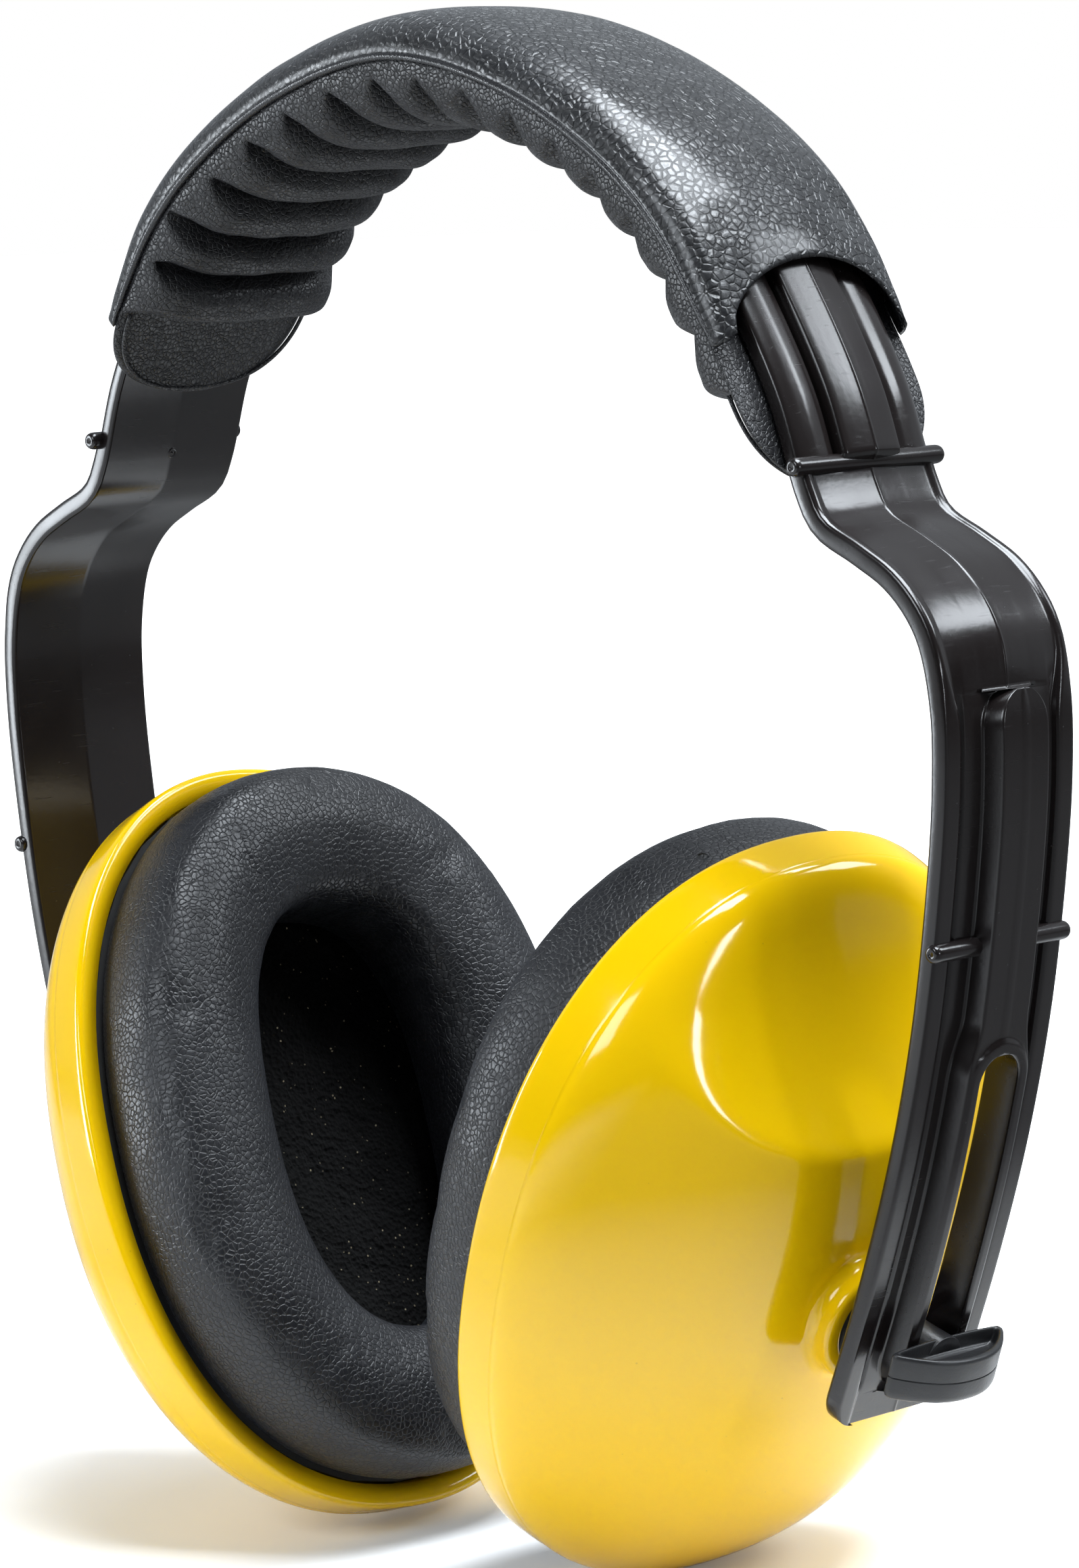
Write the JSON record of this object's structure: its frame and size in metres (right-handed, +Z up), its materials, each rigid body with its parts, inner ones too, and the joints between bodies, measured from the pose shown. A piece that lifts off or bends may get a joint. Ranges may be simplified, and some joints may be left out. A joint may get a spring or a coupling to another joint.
{
  "type": "earmuff hearing protector",
  "caption": "Over-the-head earmuff: padded springy band with slotted arms, sliding ball-jointed domed cups, sealing cushions and foam liners.",
  "frame": {"origin": "on the ground plane that the cups stand on, under the middle of the bounding box", "axes": "+Z up towards the crown of the headband, +X towards the wearer's left ear, -Y towards the front"},
  "size_m": [0.1886, 0.089, 0.2119],
  "materials": {
    "black_plastic": "glossy moulded black",
    "slider_plastic": "satin moulded black",
    "cover_leatherette": "pebble-grained black leatherette",
    "pad_leatherette": "fine-grained black leatherette, folded",
    "cushion_leatherette": "fine-grained black leatherette, soft satin",
    "yellow_plastic": "polished yellow",
    "acoustic_foam": "black open-cell foam",
    "foam": "soft grey-black foam",
    "nylon": "matte moulded black"
  },
  "bodies": {
    "headband": {"headband": "black_plastic", "headband_cover": "cover_leatherette", "headband_pad": "pad_leatherette", "pad_core": "foam"},
    "left_slider": {"left_adjuster_slider": "slider_plastic"},
    "left_hub": {"left_pivot_hub": "slider_plastic"},
    "left_ring": {"left_socket_ring": "nylon"},
    "left_cup": {"left_cup_shell": "yellow_plastic", "left_socket_cap": "nylon", "left_cushion_cover": "cushion_leatherette", "left_cushion_foam": "foam", "left_cushion_plate": "nylon", "left_acoustic_foam": "acoustic_foam"},
    "right_slider": {"right_adjuster_slider": "slider_plastic"},
    "right_hub": {"right_pivot_hub": "slider_plastic"},
    "right_ring": {"right_socket_ring": "nylon"},
    "right_cup": {"right_cup_shell": "yellow_plastic", "right_socket_cap": "nylon", "right_cushion_cover": "cushion_leatherette", "right_cushion_foam": "foam", "right_cushion_plate": "nylon", "right_acoustic_foam": "acoustic_foam"}
  },
  "joints": [
    {"name": "left_height", "type": "slide", "parent": "headband", "child": "left_slider", "axis": [0.309, 0, 0.9511], "range_m": [0, 0.034]},
    {"name": "left_swing", "type": "hinge", "parent": "left_slider", "child": "left_hub", "pos_m": [0.065, -0.00116, 0.04093], "axis": [0.9511, 0, -0.309], "range_deg": [-90, 90]},
    {"name": "left_tilt", "type": "hinge", "parent": "left_hub", "child": "left_ring", "pos_m": [0.065, -0.00116, 0.04093], "axis": [0, 1, 0], "range_deg": [-14, 7]},
    {"name": "left_turn", "type": "hinge", "parent": "left_ring", "child": "left_cup", "pos_m": [0.065, -0.00116, 0.04093], "axis": [0.3535, -0.1132, 0.9286], "range_deg": [-6, 16]},
    {"name": "right_height", "type": "slide", "parent": "headband", "child": "right_slider", "axis": [-0.309, 0, 0.9511], "range_m": [0, 0.034]},
    {"name": "right_swing", "type": "hinge", "parent": "right_slider", "child": "right_hub", "pos_m": [-0.065, -0.00116, 0.04093], "axis": [-0.9511, 0, -0.309], "range_deg": [-90, 90]},
    {"name": "right_tilt", "type": "hinge", "parent": "right_hub", "child": "right_ring", "pos_m": [-0.065, -0.00116, 0.04093], "axis": [0, -1, 0], "range_deg": [-15, 6]},
    {"name": "right_turn", "type": "hinge", "parent": "right_ring", "child": "right_cup", "pos_m": [-0.065, -0.00116, 0.04093], "axis": [-0.3801, 0.1167, 0.9176], "range_deg": [-11, 11]}
  ]
}
